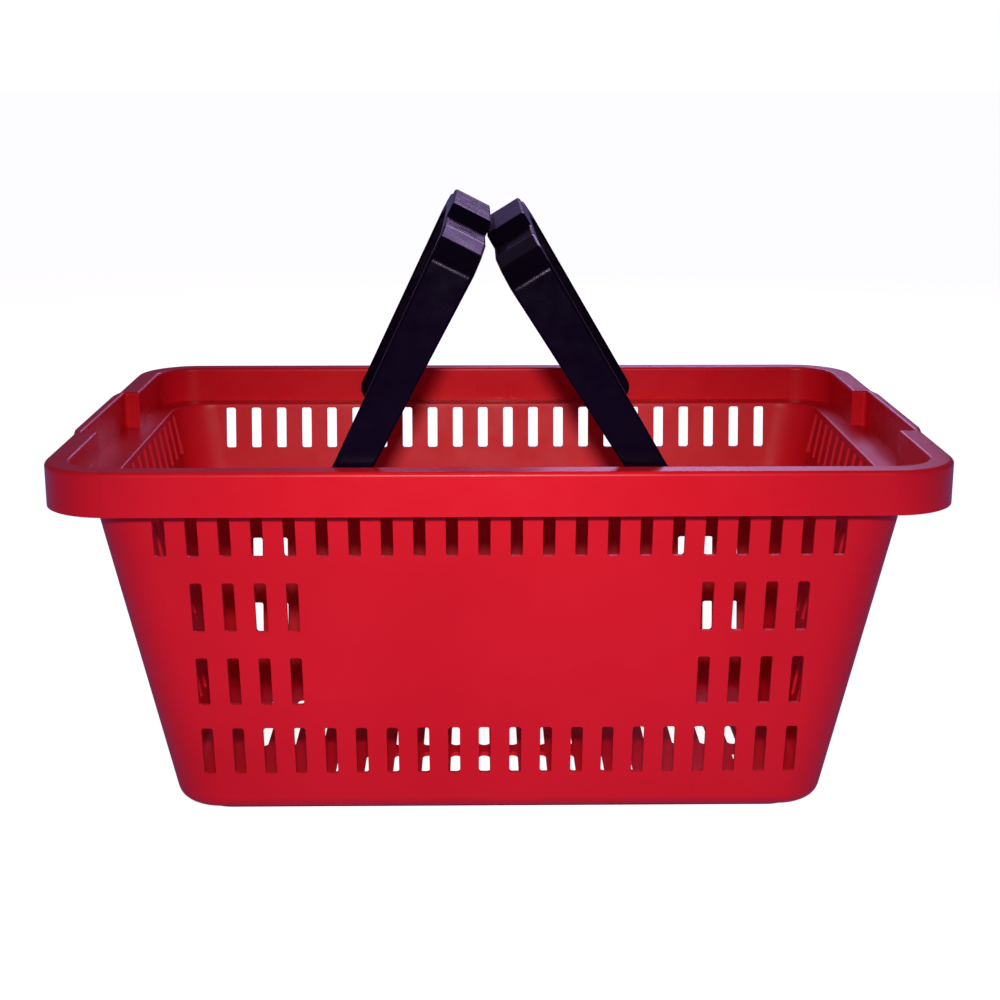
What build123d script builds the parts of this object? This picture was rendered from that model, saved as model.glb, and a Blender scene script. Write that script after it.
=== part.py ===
from build123d import *
import os

# Supermarket hand basket: one tapered, slotted tub and two bail handles that pivot on its rim.
# Millimetres. +X runs along the basket, +Y across it, +Z up; the origin is the middle of the
# surface it stands on.

# Driving dimensions: the rim
RIM_LENGTH = 441.6
RIM_WIDTH = 300.0
RIM_HEIGHT = 196.0
RIM_CORNER = 34.0
LIP_WIDTH = 12.0
SKIRT_DEPTH = 21.6
WALL = 2.5
LIP_EDGE_ROUND = 2.2
MOUTH_ROUND = 1.6

# Driving dimensions: the tub under the rim
BASE_LENGTH = 340.7
BASE_WIDTH = 197.0
SHOULDER_LENGTH = 401.7
SHOULDER_WIDTH = 260.0
TUB_CORNER = 26.0
BAND_DEPTH = 20.5
BASE_ROUND = 9.0
LEDGE_ROUND = 1.2

# Finger pockets in the two end rims
POCKET_LENGTH = 112.0
POCKET_DEPTH = 8.5
POCKET_ROUND = 2.0
END_BULGE = 2.0
BULGE_LENGTH = 94.0
BULGE_RAMP = 11.0
BULGE_ROUND = 20.0

# Slots: a grid of one pitch, used by the long walls, the end walls and the floor
SLOT_PITCH = 15.8
SLOT_WIDTH = 6.0
SLOT_ROUND = 1.4
SLOT_CUT_DEPTH = 16.0
ROW_LEVELS = (160.4, 120.3, 78.7, 38.2)
SLOT_HEIGHTS = (24.9, 27.0, 27.0, 27.0)
LONG_WALL_COLUMNS = (22, 20, 20, 20)
END_WALL_COLUMNS = (14, 12, 12, 10)
PANEL_COLUMNS = (0, 12, 12, 0)
FLOOR_SLOT_LENGTH = 34.0
FLOOR_ROWS = 3
FLOOR_COLUMNS = 18
FLOOR_ROW_PITCH = 44.0

# Foot ring under the floor
FOOT_HEIGHT = 2.4
FOOT_LENGTH = 315.0
FOOT_SPAN = 178.0
FOOT_CORNER = 16.0
FOOT_WIDTH = 3.5

# Handles: their outline in their own plane, measured from the pivot
PIVOT_X = 75.6
PIVOT_DROP = 11.0
ARM_SPAN = 268.0
ARM_THICKNESS = 5.0
FOOT_HALF_WIDTH = 8.7
BAND_HALF_WIDTH = 11.1
ARM_REACH = 118.5
KNEE_REACH = 127.0
KNEE_HALF_SPAN = 122.0
SHOULDER_REACH = 131.5
SHOULDER_HALF_SPAN = 106.0
GRIP_REACH = 138.5
GRIP_HALF_LENGTH = 51.0
GRIP_RAMP = 5.0
GRIP_UNDERSIDE = 126.0
RAMP_BEND_ROUND = 2.0
OUTER_BEND_ROUND = 6.0
INNER_BEND_ROUND = 4.0
BAND_EDGE_ROUND = 1.6

# How far each handle leans in when the two grips rest on one another
LEAN_LEFT = 26.8
LEAN_RIGHT = 31.6

# Snap-in pivot studs, moulded on the feet of the handles
STUD_RADIUS = 4.0
STUD_CLEARANCE = 0.05
HUB_RADIUS = 7.5
HUB_GAP = 0.3
HEAD_RADIUS = 4.8
HEAD_THICKNESS = 1.8
HEAD_GAP = 0.4
BOSS_RADIUS = 9.0
BOSS_HEIGHT = 1.5

# Levels and sizes that follow from the driving dimensions
LEDGE_TOP = RIM_HEIGHT - BAND_DEPTH
LEDGE_UNDERSIDE = LEDGE_TOP - WALL
BAND_LENGTH = RIM_LENGTH - 2 * LIP_WIDTH
BAND_SPAN = RIM_WIDTH - 2 * LIP_WIDTH
BAND_CORNER = RIM_CORNER - LIP_WIDTH
PIVOT_HEIGHT = RIM_HEIGHT - PIVOT_DROP
ABOVE = 10.0
LEVEL_TOLERANCE = 0.01


def rounded_prism(length, width, corner, low, high):
    """Upright block with rounded corners between two heights."""
    return Pos(0, 0, low) * extrude(RectangleRounded(length, width, corner), high - low)


def between(at_base, at_shoulder, height):
    """A size of the tub at one height, on a straight line from its base to its shoulder."""
    part = (height - FOOT_HEIGHT) / (LEDGE_TOP - FOOT_HEIGHT)
    return at_base + (at_shoulder - at_base) * part


def flared_prism(plane, at_base, at_shoulder, inset, low):
    """Trapezium across the basket in one plane, extruded well past the other two walls."""
    bottom = between(at_base, at_shoulder, low) / 2 - inset
    top = at_shoulder / 2 - inset
    outline = Polyline((-bottom, low), (bottom, low), (top, LEDGE_TOP), (-top, LEDGE_TOP), close=True)
    return extrude(plane * make_face(outline), RIM_LENGTH, both=True)


def tapered_block(inset, low):
    """The tub as a solid that starts at one height, with its corners and floor edge rounded."""
    block = flared_prism(Plane.XZ, BASE_LENGTH, SHOULDER_LENGTH, inset, low)
    block &= flared_prism(Plane.YZ, BASE_WIDTH, SHOULDER_WIDTH, inset, low)
    level = block.faces().filter_by(Axis.Z).edges()
    block = fillet([edge for edge in block.edges() if edge not in level], TUB_CORNER - inset)
    return fillet(block.faces().sort_by(Axis.Z)[0].edges(), BASE_ROUND - inset)


def end_blocks(length, reach, low, high):
    """A block at each end of the basket, out to a given reach from the middle."""
    blocks = Box(2 * reach, length, high - low)
    upright = blocks.edges().filter_by(Axis.Z)
    return Pos(0, 0, (low + high) / 2) * fillet(upright, POCKET_ROUND)


def rim_outline():
    """Rounded rectangle whose two ends swell outwards behind the pockets."""
    plain = RectangleRounded(RIM_LENGTH, RIM_WIDTH, RIM_CORNER)
    base = RIM_LENGTH / 2
    reach = base + END_BULGE
    full = BULGE_LENGTH / 2
    start = full + BULGE_RAMP
    swell = [(-base, start), (-reach, full), (-reach, -full), (-base, -start)]
    swell += [(base, -start), (reach, -full), (reach, full), (base, start)]
    outline = plain + make_face(Polyline(*swell, close=True))
    corners = outline.vertices().filter_by(lambda point: abs(point.Y) < start + LEVEL_TOLERANCE)
    return fillet(corners, BULGE_ROUND)


def rim():
    """Flat lip with a turned-down skirt, and the band that stands inside it."""
    low = RIM_HEIGHT - SKIRT_DEPTH
    bulge_length = POCKET_LENGTH + 2 * WALL
    outside = Pos(0, 0, low) * extrude(rim_outline(), SKIRT_DEPTH)
    top_edges = outside.faces().sort_by(Axis.Z)[-1].edges()
    outside = fillet(top_edges, LIP_EDGE_ROUND)
    gutter = rounded_prism(
        RIM_LENGTH - 2 * WALL,
        RIM_WIDTH - 2 * WALL,
        RIM_CORNER - WALL,
        low - ABOVE,
        RIM_HEIGHT - WALL,
    )
    band = rounded_prism(
        BAND_LENGTH + 2 * WALL,
        BAND_SPAN + 2 * WALL,
        BAND_CORNER + WALL,
        LEDGE_UNDERSIDE,
        RIM_HEIGHT - WALL / 2,
    )
    pocket_wall = BAND_LENGTH / 2 + POCKET_DEPTH + WALL
    pockets = end_blocks(bulge_length, pocket_wall, LEDGE_UNDERSIDE, RIM_HEIGHT - WALL / 2)
    return outside - gutter + band + pockets


def rim_opening():
    """Everything that is hollow above the ledge: the band's inside and the two pockets."""
    high = RIM_HEIGHT + ABOVE
    opening = rounded_prism(BAND_LENGTH, BAND_SPAN, BAND_CORNER, LEDGE_TOP, high)
    return opening + end_blocks(POCKET_LENGTH, BAND_LENGTH / 2 + POCKET_DEPTH, LEDGE_TOP, high)


def columns(count):
    """Places of evenly pitched slots, centred on the middle of a wall."""
    return [SLOT_PITCH * (index - (count - 1) / 2) for index in range(count)]


def wall_slots():
    """Cutters for the slots of all four walls."""
    cutters = []
    rows = zip(ROW_LEVELS, SLOT_HEIGHTS, LONG_WALL_COLUMNS, END_WALL_COLUMNS, PANEL_COLUMNS)
    for level, slot_height, long_count, end_count, panel_count in rows:
        cutter = Box(SLOT_WIDTH, SLOT_CUT_DEPTH, slot_height)
        along_y = fillet(cutter.edges().filter_by(Axis.Y), SLOT_ROUND)
        along_x = Rot(0, 0, 90) * along_y
        wall_x = between(BASE_LENGTH, SHOULDER_LENGTH, level) / 2
        wall_y = between(BASE_WIDTH, SHOULDER_WIDTH, level) / 2
        panel = SLOT_PITCH * panel_count / 2
        for side in (-1, 1):
            places = [x for x in columns(long_count) if abs(x) > panel]
            cutters += [Pos(x, side * wall_y, level) * along_y for x in places]
            cutters += [Pos(side * wall_x, y, level) * along_x for y in columns(end_count)]
    return cutters


def floor_slots():
    """Cutters for the drain slots in the floor."""
    slot = extrude(SlotOverall(FLOOR_SLOT_LENGTH, SLOT_WIDTH, rotation=90), 2 * ABOVE)
    rows = [FLOOR_ROW_PITCH * (row - (FLOOR_ROWS - 1) / 2) for row in range(FLOOR_ROWS)]
    return [Pos(x, y, -ABOVE / 2) * slot for x in columns(FLOOR_COLUMNS) for y in rows]


def foot_ring():
    """Low bead under the floor that the basket stands on."""
    outside = rounded_prism(FOOT_LENGTH, FOOT_SPAN, FOOT_CORNER, 0, FOOT_HEIGHT + WALL / 2)
    inside = rounded_prism(
        FOOT_LENGTH - 2 * FOOT_WIDTH,
        FOOT_SPAN - 2 * FOOT_WIDTH,
        FOOT_CORNER - FOOT_WIDTH,
        -ABOVE,
        FOOT_HEIGHT + WALL,
    )
    return outside - inside


def cross_pin(radius, near, far):
    """Cylinder along +Y between two distances from the middle plane."""
    return Pos(0, (near + far) / 2, 0) * Rot(90, 0, 0) * Cylinder(radius, far - near)


def mirrored_pair(solid):
    """A solid and its mirror image in the middle plane across the basket."""
    return [solid, mirror(solid, Plane.XZ)]


def inner_loop(body, height):
    """Edges round the opening of the level face at one height."""
    level = body.faces().filter_by(lambda face: abs(face.center().Z - height) < LEVEL_TOLERANCE)
    face = level.filter_by(Axis.Z).sort_by(SortBy.AREA)[-1]
    return face.inner_wires().sort_by(SortBy.LENGTH)[-1].edges()


def basket_body():
    """The tub, rim, slots and foot ring as one moulding."""
    body = tapered_block(0, FOOT_HEIGHT) + rim()
    wall = BAND_SPAN / 2 + WALL
    boss = cross_pin(BOSS_RADIUS, wall - WALL / 2, wall + BOSS_HEIGHT)
    bore = cross_pin(STUD_RADIUS + STUD_CLEARANCE, BAND_SPAN / 2 - ABOVE, wall + BOSS_HEIGHT)
    places = [Pos(side * PIVOT_X, 0, PIVOT_HEIGHT) for side in (-1, 1)]
    for place in places:
        for solid in mirrored_pair(boss):
            body += place * solid
    body -= tapered_block(WALL, FOOT_HEIGHT + WALL)
    body -= rim_opening()
    body = fillet(inner_loop(body, RIM_HEIGHT), MOUTH_ROUND)
    body = fillet(inner_loop(body, LEDGE_TOP), LEDGE_ROUND)
    for place in places:
        for solid in mirrored_pair(bore):
            body -= place * solid
    body -= wall_slots()
    body = body + foot_ring()
    return body - floor_slots()


def round_bends(outline, bends, radius):
    """Round the corners of an outline at the given places and at their mirror images in Y."""

    def is_bend(corner):
        return any(
            abs(abs(corner.X) - span) + abs(corner.Y - reach) < LEVEL_TOLERANCE for span, reach in bends
        )

    return fillet(outline.vertices().filter_by(is_bend), radius)


def handle_outline():
    """The handle's outline in its own plane: span in X, reach from the pivot in Y."""
    outer_bends = [
        (ARM_SPAN / 2, ARM_REACH),
        (KNEE_HALF_SPAN, KNEE_REACH),
        (SHOULDER_HALF_SPAN, SHOULDER_REACH),
    ]
    ramp_bends = [
        (GRIP_HALF_LENGTH + GRIP_RAMP, SHOULDER_REACH),
        (GRIP_HALF_LENGTH, GRIP_REACH),
    ]
    inner_bends = [
        (SHOULDER_HALF_SPAN, GRIP_UNDERSIDE),
        (KNEE_HALF_SPAN - ARM_THICKNESS, KNEE_REACH - ARM_THICKNESS),
        (ARM_SPAN / 2 - ARM_THICKNESS, ARM_REACH - ARM_THICKNESS / 2),
    ]
    outer_foot = (ARM_SPAN / 2, -FOOT_HALF_WIDTH)
    inner_foot = (ARM_SPAN / 2 - ARM_THICKNESS, -FOOT_HALF_WIDTH)
    inside = [(0, GRIP_UNDERSIDE), *inner_bends, inner_foot]
    outside = [outer_foot, *outer_bends, *ramp_bends, (0, GRIP_REACH)]
    half = make_face(Polyline(*inside, *outside, close=True))
    outline = half + mirror(half, Plane.YZ)
    outline = round_bends(outline, outer_bends, OUTER_BEND_ROUND)
    outline = round_bends(outline, ramp_bends, RAMP_BEND_ROUND)
    return round_bends(outline, inner_bends, INNER_BEND_ROUND)


def handle_side():
    """The handle seen along the pivot: a round foot and a band that widens up to the grip."""
    grip = Polyline(
        (-BAND_HALF_WIDTH, ARM_REACH),
        (-BAND_HALF_WIDTH, GRIP_REACH),
        (BAND_HALF_WIDTH, GRIP_REACH),
        (BAND_HALF_WIDTH, ARM_REACH),
    )
    return make_hull(Circle(FOOT_HALF_WIDTH).edges() + grip.edges())


def handle_band():
    """The bent band of the handle, with all its long edges rounded."""
    band = extrude(Plane.YZ * handle_outline(), BAND_HALF_WIDTH, both=True)
    band &= extrude(Plane.XZ * handle_side(), ARM_SPAN, both=True)
    lengthwise = band.edges().filter_by(Axis.X, reverse=True)
    clear_of_foot_tangent = lengthwise.filter_by(lambda edge: abs(edge.center().Z) > FOOT_HALF_WIDTH / 2)
    return fillet(clear_of_foot_tangent, BAND_EDGE_ROUND)


def upright_handle():
    """A handle standing straight up with its pivot at the origin."""
    handle = handle_band()
    wall = BAND_SPAN / 2
    arm = ARM_SPAN / 2
    head_start = wall + WALL + BOSS_HEIGHT + HEAD_GAP
    hub = cross_pin(HUB_RADIUS, arm - 1, wall - HUB_GAP)
    stud = cross_pin(STUD_RADIUS, arm - 1, head_start + HEAD_THICKNESS / 2)
    head = cross_pin(HEAD_RADIUS, head_start, head_start + HEAD_THICKNESS)
    head = chamfer(head.edges().sort_by(Axis.Y)[-1], HEAD_THICKNESS / 2)
    for piece in (hub, stud, head):
        for solid in mirrored_pair(piece):
            handle += solid
    return handle


def leaning_handle(side, lean):
    """The handle on one side of the basket, leaning in towards the middle."""
    return Pos(side * PIVOT_X, 0, PIVOT_HEIGHT) * Rot(0, -side * lean, 0) * upright_handle()


def main():
    os.makedirs("parts", exist_ok=True)
    parts = {
        "basket_body": basket_body(),
        "handle_left": leaning_handle(-1, LEAN_LEFT),
        "handle_right": leaning_handle(1, LEAN_RIGHT),
    }
    for name, part in parts.items():
        export_step(part, f"parts/{name}.step")
        print(name, "solids", len(part.solids()), "volume", round(part.volume))


main()
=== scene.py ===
import math

import bpy
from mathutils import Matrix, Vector

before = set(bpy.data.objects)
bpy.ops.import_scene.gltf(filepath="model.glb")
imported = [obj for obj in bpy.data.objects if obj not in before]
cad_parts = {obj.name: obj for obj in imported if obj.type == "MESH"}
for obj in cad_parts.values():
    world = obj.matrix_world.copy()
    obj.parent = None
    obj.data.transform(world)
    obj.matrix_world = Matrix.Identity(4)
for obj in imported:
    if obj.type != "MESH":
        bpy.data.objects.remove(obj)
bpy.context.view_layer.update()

# The camera stands in front of the basket and looks slightly down on it.
CAMERA_PLACE = (-0.0105, -0.9268, 0.3789)
CAMERA_PITCH = 14.18
CAMERA_YAW = 0.73
CAMERA_LENS = 61.4
SENSOR_WIDTH = 36.0

# A small flash just above the lens.
FLASH_PLACE = (-0.01, -0.93, 0.45)
FLASH_TARGET = (0, -0.12, 0.10)
FLASH_RADIUS = 0.02
FLASH_SPREAD = 42.0
FLASH_BLEND = 1.0
FLASH_POWER = 25.0

# A dim soft box behind the basket.
BACK_PLACE = (0.3, 1.7, 1.1)
BACK_TARGET = (0, 0, 0.15)
BACK_SIZE = 0.9
BACK_POWER = 9.0
BACK_COLOR = (0.72, 0.48, 1.0)

# The room's dim violet light, from 0 straight below to 1 straight above.
# The camera sees a white backdrop in its place.
STRAIGHT_DOWN = -1.0
ROOM_LIGHT = [
    (0.42, (0.22, 0.19, 0.55, 1)),
    (0.5, (0.12, 0.08, 0.21, 1)),
    (0.75, (0.10, 0.08, 0.15, 1)),
]
BACKDROP = (1, 1, 1, 1)

# A floor that glows nearly white, so that only a faint shadow shows on it.
FLOOR_REACH = 30.0
FLOOR_COLOR = (0.5, 0.5, 0.5, 1)
FLOOR_ROUGHNESS = 0.9
FLOOR_GLOW = (0.93, 0.93, 0.93, 1)
FLOOR_GLOW_STRENGTH = 1.0

# Nearly all of a noise texture's values lie between these two.
NOISE_LOW = 0.3
NOISE_HIGH = 0.7

# What both plastics share. The depths are in metres.
CLOUD_DETAIL = 3.0
SMEAR_DETAIL = 4.0
SMEAR_ROUGHNESS = 0.6
WAVE_DETAIL = 1.0
WAVE_DEPTH = 0.002
GRAIN_DETAIL = 2.0
GRAIN_DEPTH = 0.0002

# Where they differ: colours, noise scales, which are per metre, and how strong the bumps are.
RED = {
    "name": "basket_plastic",
    "color": (0.74, 0.006, 0.014, 1),
    "dark": (0.70, 0.005, 0.012, 1),
    "light": (0.78, 0.008, 0.017, 1),
    "roughness": 0.4,
    "specular": 0.2,
    "clouds": 9.0,
    "smears": 60.0,
    "waves": 35.0,
    "wave_strength": 0.12,
    "grain": 1400.0,
    "grain_strength": 0.15,
}
BLACK = {
    "name": "handle_plastic",
    "color": (0.003, 0.001, 0.005, 1),
    "dark": (0.0025, 0.0008, 0.004, 1),
    "light": (0.0045, 0.0015, 0.007, 1),
    "roughness": 0.2,
    "specular": 0.08,
    "clouds": 18.0,
    "smears": 90.0,
    "waves": 60.0,
    "wave_strength": 0.15,
    "grain": 1600.0,
    "grain_strength": 0.2,
}

# The basket is glossy from the rim's underside up and more matt from the walls' top down.
WALL_TOP = 0.172
RIM_UNDERSIDE = 0.176
WALL_ROUGHNESS = (0.46, 0.56)
RIM_ROUGHNESS = (0.26, 0.36)
HANDLE_ROUGHNESS = (0.16, 0.27)
HANDLE_TINT = (0.85, 0.66, 1.0, 1)


def node_tree(material):
    """The material's nodes, its links and its shader node."""
    tree = material.node_tree
    return tree.nodes, tree.links, tree.nodes["Principled BSDF"]


def new_material(name, color, roughness):
    """A node material with its main colour and roughness set on the shader."""
    material = bpy.data.materials.new(name)
    material.use_nodes = True
    shader = node_tree(material)[-1]
    shader.inputs["Base Color"].default_value = color
    shader.inputs["Roughness"].default_value = roughness
    material.diffuse_color = color
    return material


def noise(nodes, links, place, scale, detail, roughness=0.5):
    """A noise texture in the object's own coordinates, which are metres."""
    texture = nodes.new("ShaderNodeTexNoise")
    texture.inputs["Scale"].default_value = scale
    texture.inputs["Detail"].default_value = detail
    texture.inputs["Roughness"].default_value = roughness
    links.new(place, texture.inputs["Vector"])
    return texture.outputs["Fac"]


def ramp(nodes, links, value, stops):
    """A colour ramp through (place, colour) stops."""
    node = nodes.new("ShaderNodeValToRGB")
    elements = node.color_ramp.elements
    while len(elements) < len(stops):
        elements.new(0.5)
    for element, (place, color) in zip(elements, stops):
        element.position = place
        element.color = color
    links.new(value, node.inputs["Fac"])
    return node.outputs["Color"]


def spread(nodes, links, value, low, high):
    """Maps a noise value onto a range."""
    node = nodes.new("ShaderNodeMapRange")
    node.inputs["From Min"].default_value = NOISE_LOW
    node.inputs["From Max"].default_value = NOISE_HIGH
    node.inputs["To Min"].default_value = low
    node.inputs["To Max"].default_value = high
    links.new(value, node.inputs["Value"])
    return node.outputs["Result"]


def bump(nodes, links, height, depth, strength):
    """A bump node that raises the surface by a noise value."""
    node = nodes.new("ShaderNodeBump")
    node.inputs["Distance"].default_value = depth
    node.inputs["Strength"].default_value = strength
    links.new(height, node.inputs["Height"])
    return node


def vertical(nodes, links, vector):
    """The Z part of a place or a direction."""
    parts = nodes.new("ShaderNodeSeparateXYZ")
    links.new(vector, parts.inputs["Vector"])
    return parts.outputs["Z"]


def moulded(plastic):
    """A clouded, slightly wavy and grainy material, with its coordinates and the noise for its gloss."""
    material = new_material(plastic["name"], plastic["color"], plastic["roughness"])
    nodes, links, shader = node_tree(material)
    shader.inputs["Specular IOR Level"].default_value = plastic["specular"]
    place = nodes.new("ShaderNodeTexCoord").outputs["Object"]
    clouds = noise(nodes, links, place, plastic["clouds"], CLOUD_DETAIL)
    stops = [(NOISE_LOW, plastic["dark"]), (NOISE_HIGH, plastic["light"])]
    links.new(ramp(nodes, links, clouds, stops), shader.inputs["Base Color"])
    waves = noise(nodes, links, place, plastic["waves"], WAVE_DETAIL)
    wavy = bump(nodes, links, waves, WAVE_DEPTH, plastic["wave_strength"])
    grain = noise(nodes, links, place, plastic["grain"], GRAIN_DETAIL)
    grainy = bump(nodes, links, grain, GRAIN_DEPTH, plastic["grain_strength"])
    links.new(wavy.outputs["Normal"], grainy.inputs["Normal"])
    links.new(grainy.outputs["Normal"], shader.inputs["Normal"])
    smears = noise(nodes, links, place, plastic["smears"], SMEAR_DETAIL, SMEAR_ROUGHNESS)
    return material, place, smears


def basket_plastic():
    """Red moulded plastic, glossy on the rim and more matt on the walls."""
    material, place, smears = moulded(RED)
    nodes, links, shader = node_tree(material)
    rim = nodes.new("ShaderNodeMapRange")
    rim.inputs["From Min"].default_value = WALL_TOP
    rim.inputs["From Max"].default_value = RIM_UNDERSIDE
    links.new(vertical(nodes, links, place), rim.inputs["Value"])
    finish = nodes.new("ShaderNodeMix")
    links.new(rim.outputs["Result"], finish.inputs["Factor"])
    links.new(spread(nodes, links, smears, *WALL_ROUGHNESS), finish.inputs["A"])
    links.new(spread(nodes, links, smears, *RIM_ROUGHNESS), finish.inputs["B"])
    links.new(finish.outputs["Result"], shader.inputs["Roughness"])
    return material


def handle_plastic():
    """Black moulded plastic with a violet cast."""
    material, _, smears = moulded(BLACK)
    nodes, links, shader = node_tree(material)
    shader.inputs["Specular Tint"].default_value = HANDLE_TINT
    links.new(spread(nodes, links, smears, *HANDLE_ROUGHNESS), shader.inputs["Roughness"])
    return material


def dress(node, material):
    """Gives a CAD node its material."""
    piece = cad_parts[node]
    piece.data.materials.clear()
    piece.data.materials.append(material)


def add_item(name, data):
    """A new object in the scene."""
    item = bpy.data.objects.new(name, data)
    bpy.context.scene.collection.objects.link(item)
    return item


def floor():
    """Plain pale floor that is seen but throws no light back onto the basket."""
    mesh = bpy.data.meshes.new("floor")
    corners = [(-1, -1), (1, -1), (1, 1), (-1, 1)]
    places = [(x * FLOOR_REACH, y * FLOOR_REACH, 0) for x, y in corners]
    mesh.from_pydata(places, [], [(0, 1, 2, 3)])
    material = new_material("floor", FLOOR_COLOR, FLOOR_ROUGHNESS)
    shader = node_tree(material)[-1]
    shader.inputs["Emission Color"].default_value = FLOOR_GLOW
    shader.inputs["Emission Strength"].default_value = FLOOR_GLOW_STRENGTH
    mesh.materials.append(material)
    piece = add_item("floor", mesh)
    piece.visible_diffuse = False
    piece.visible_glossy = False


def add_lamp(name, light, place, target):
    """A light at one place that faces a target."""
    lamp = add_item(name, light)
    lamp.location = place
    direction = Vector(target) - Vector(place)
    lamp.rotation_euler = direction.to_track_quat("-Z", "Y").to_euler()


def flash():
    """The small soft light above the lens, which fades towards the edges of its cone."""
    light = bpy.data.lights.new("flash", "SPOT")
    light.shadow_soft_size = FLASH_RADIUS
    light.spot_size = math.radians(FLASH_SPREAD)
    light.spot_blend = FLASH_BLEND
    light.energy = FLASH_POWER
    add_lamp("flash", light, FLASH_PLACE, FLASH_TARGET)


def back_light():
    """The soft box behind the basket."""
    light = bpy.data.lights.new("back_light", "AREA")
    light.shape = "DISK"
    light.size = BACK_SIZE
    light.energy = BACK_POWER
    light.color = BACK_COLOR
    add_lamp("back_light", light, BACK_PLACE, BACK_TARGET)


def room():
    """The room's dim light, with a white backdrop where the camera looks past the basket."""
    world = bpy.data.worlds.new("room")
    world.use_nodes = True
    nodes, links = world.node_tree.nodes, world.node_tree.links
    direction = nodes.new("ShaderNodeTexCoord").outputs["Generated"]
    height = nodes.new("ShaderNodeMapRange")
    height.inputs["From Min"].default_value = STRAIGHT_DOWN
    links.new(vertical(nodes, links, direction), height.inputs["Value"])
    light = nodes["Background"]
    links.new(ramp(nodes, links, height.outputs["Result"], ROOM_LIGHT), light.inputs["Color"])
    backdrop = nodes.new("ShaderNodeBackground")
    backdrop.inputs["Color"].default_value = BACKDROP
    camera_ray = nodes.new("ShaderNodeLightPath").outputs["Is Camera Ray"]
    choice = nodes.new("ShaderNodeMixShader")
    links.new(camera_ray, choice.inputs["Fac"])
    links.new(light.outputs["Background"], choice.inputs[1])
    links.new(backdrop.outputs["Background"], choice.inputs[2])
    links.new(choice.outputs["Shader"], nodes["World Output"].inputs["Surface"])
    bpy.context.scene.world = world


def camera():
    """The camera in front of the basket."""
    data = bpy.data.cameras.new("camera")
    data.lens = CAMERA_LENS
    data.sensor_width = SENSOR_WIDTH
    item = add_item("camera", data)
    item.location = CAMERA_PLACE
    item.rotation_euler = (math.radians(90 - CAMERA_PITCH), 0, math.radians(-CAMERA_YAW))
    bpy.context.scene.camera = item


camera()
bpy.context.scene.view_settings.view_transform = "Standard"
red = basket_plastic()
black = handle_plastic()
dress("basket_body", red)
dress("handle_left", black)
dress("handle_right", black)
floor()
flash()
back_light()
room()
